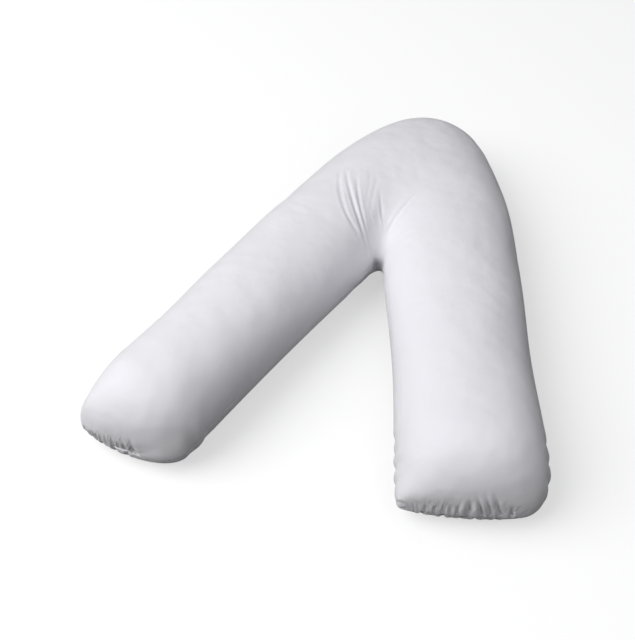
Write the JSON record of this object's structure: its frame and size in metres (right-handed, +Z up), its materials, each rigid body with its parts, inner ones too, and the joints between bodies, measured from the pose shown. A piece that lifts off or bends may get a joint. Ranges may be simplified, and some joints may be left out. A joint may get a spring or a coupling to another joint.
{
  "type": "v shaped pillow",
  "caption": "Filled V shaped bed pillow in plain white cloth: a rounded crown, splayed arms with gathered end seams, and creases that fan out from the notch between the arms.",
  "frame": {"origin": "under the middle of the pillow's box, on the surface it lies on", "axes": "+Z up from the surface the pillow lies on, +Y along the middle line from the open ends of the arms to the crown, +X to the side of the shorter arm"},
  "size_m": [0.8196, 1.017, 0.1851],
  "materials": {
    "cotton_cover": "plain woven white cotton, matt"
  },
  "bodies": {
    "root": {"v_pillow": "cotton_cover"}
  },
  "joints": []
}
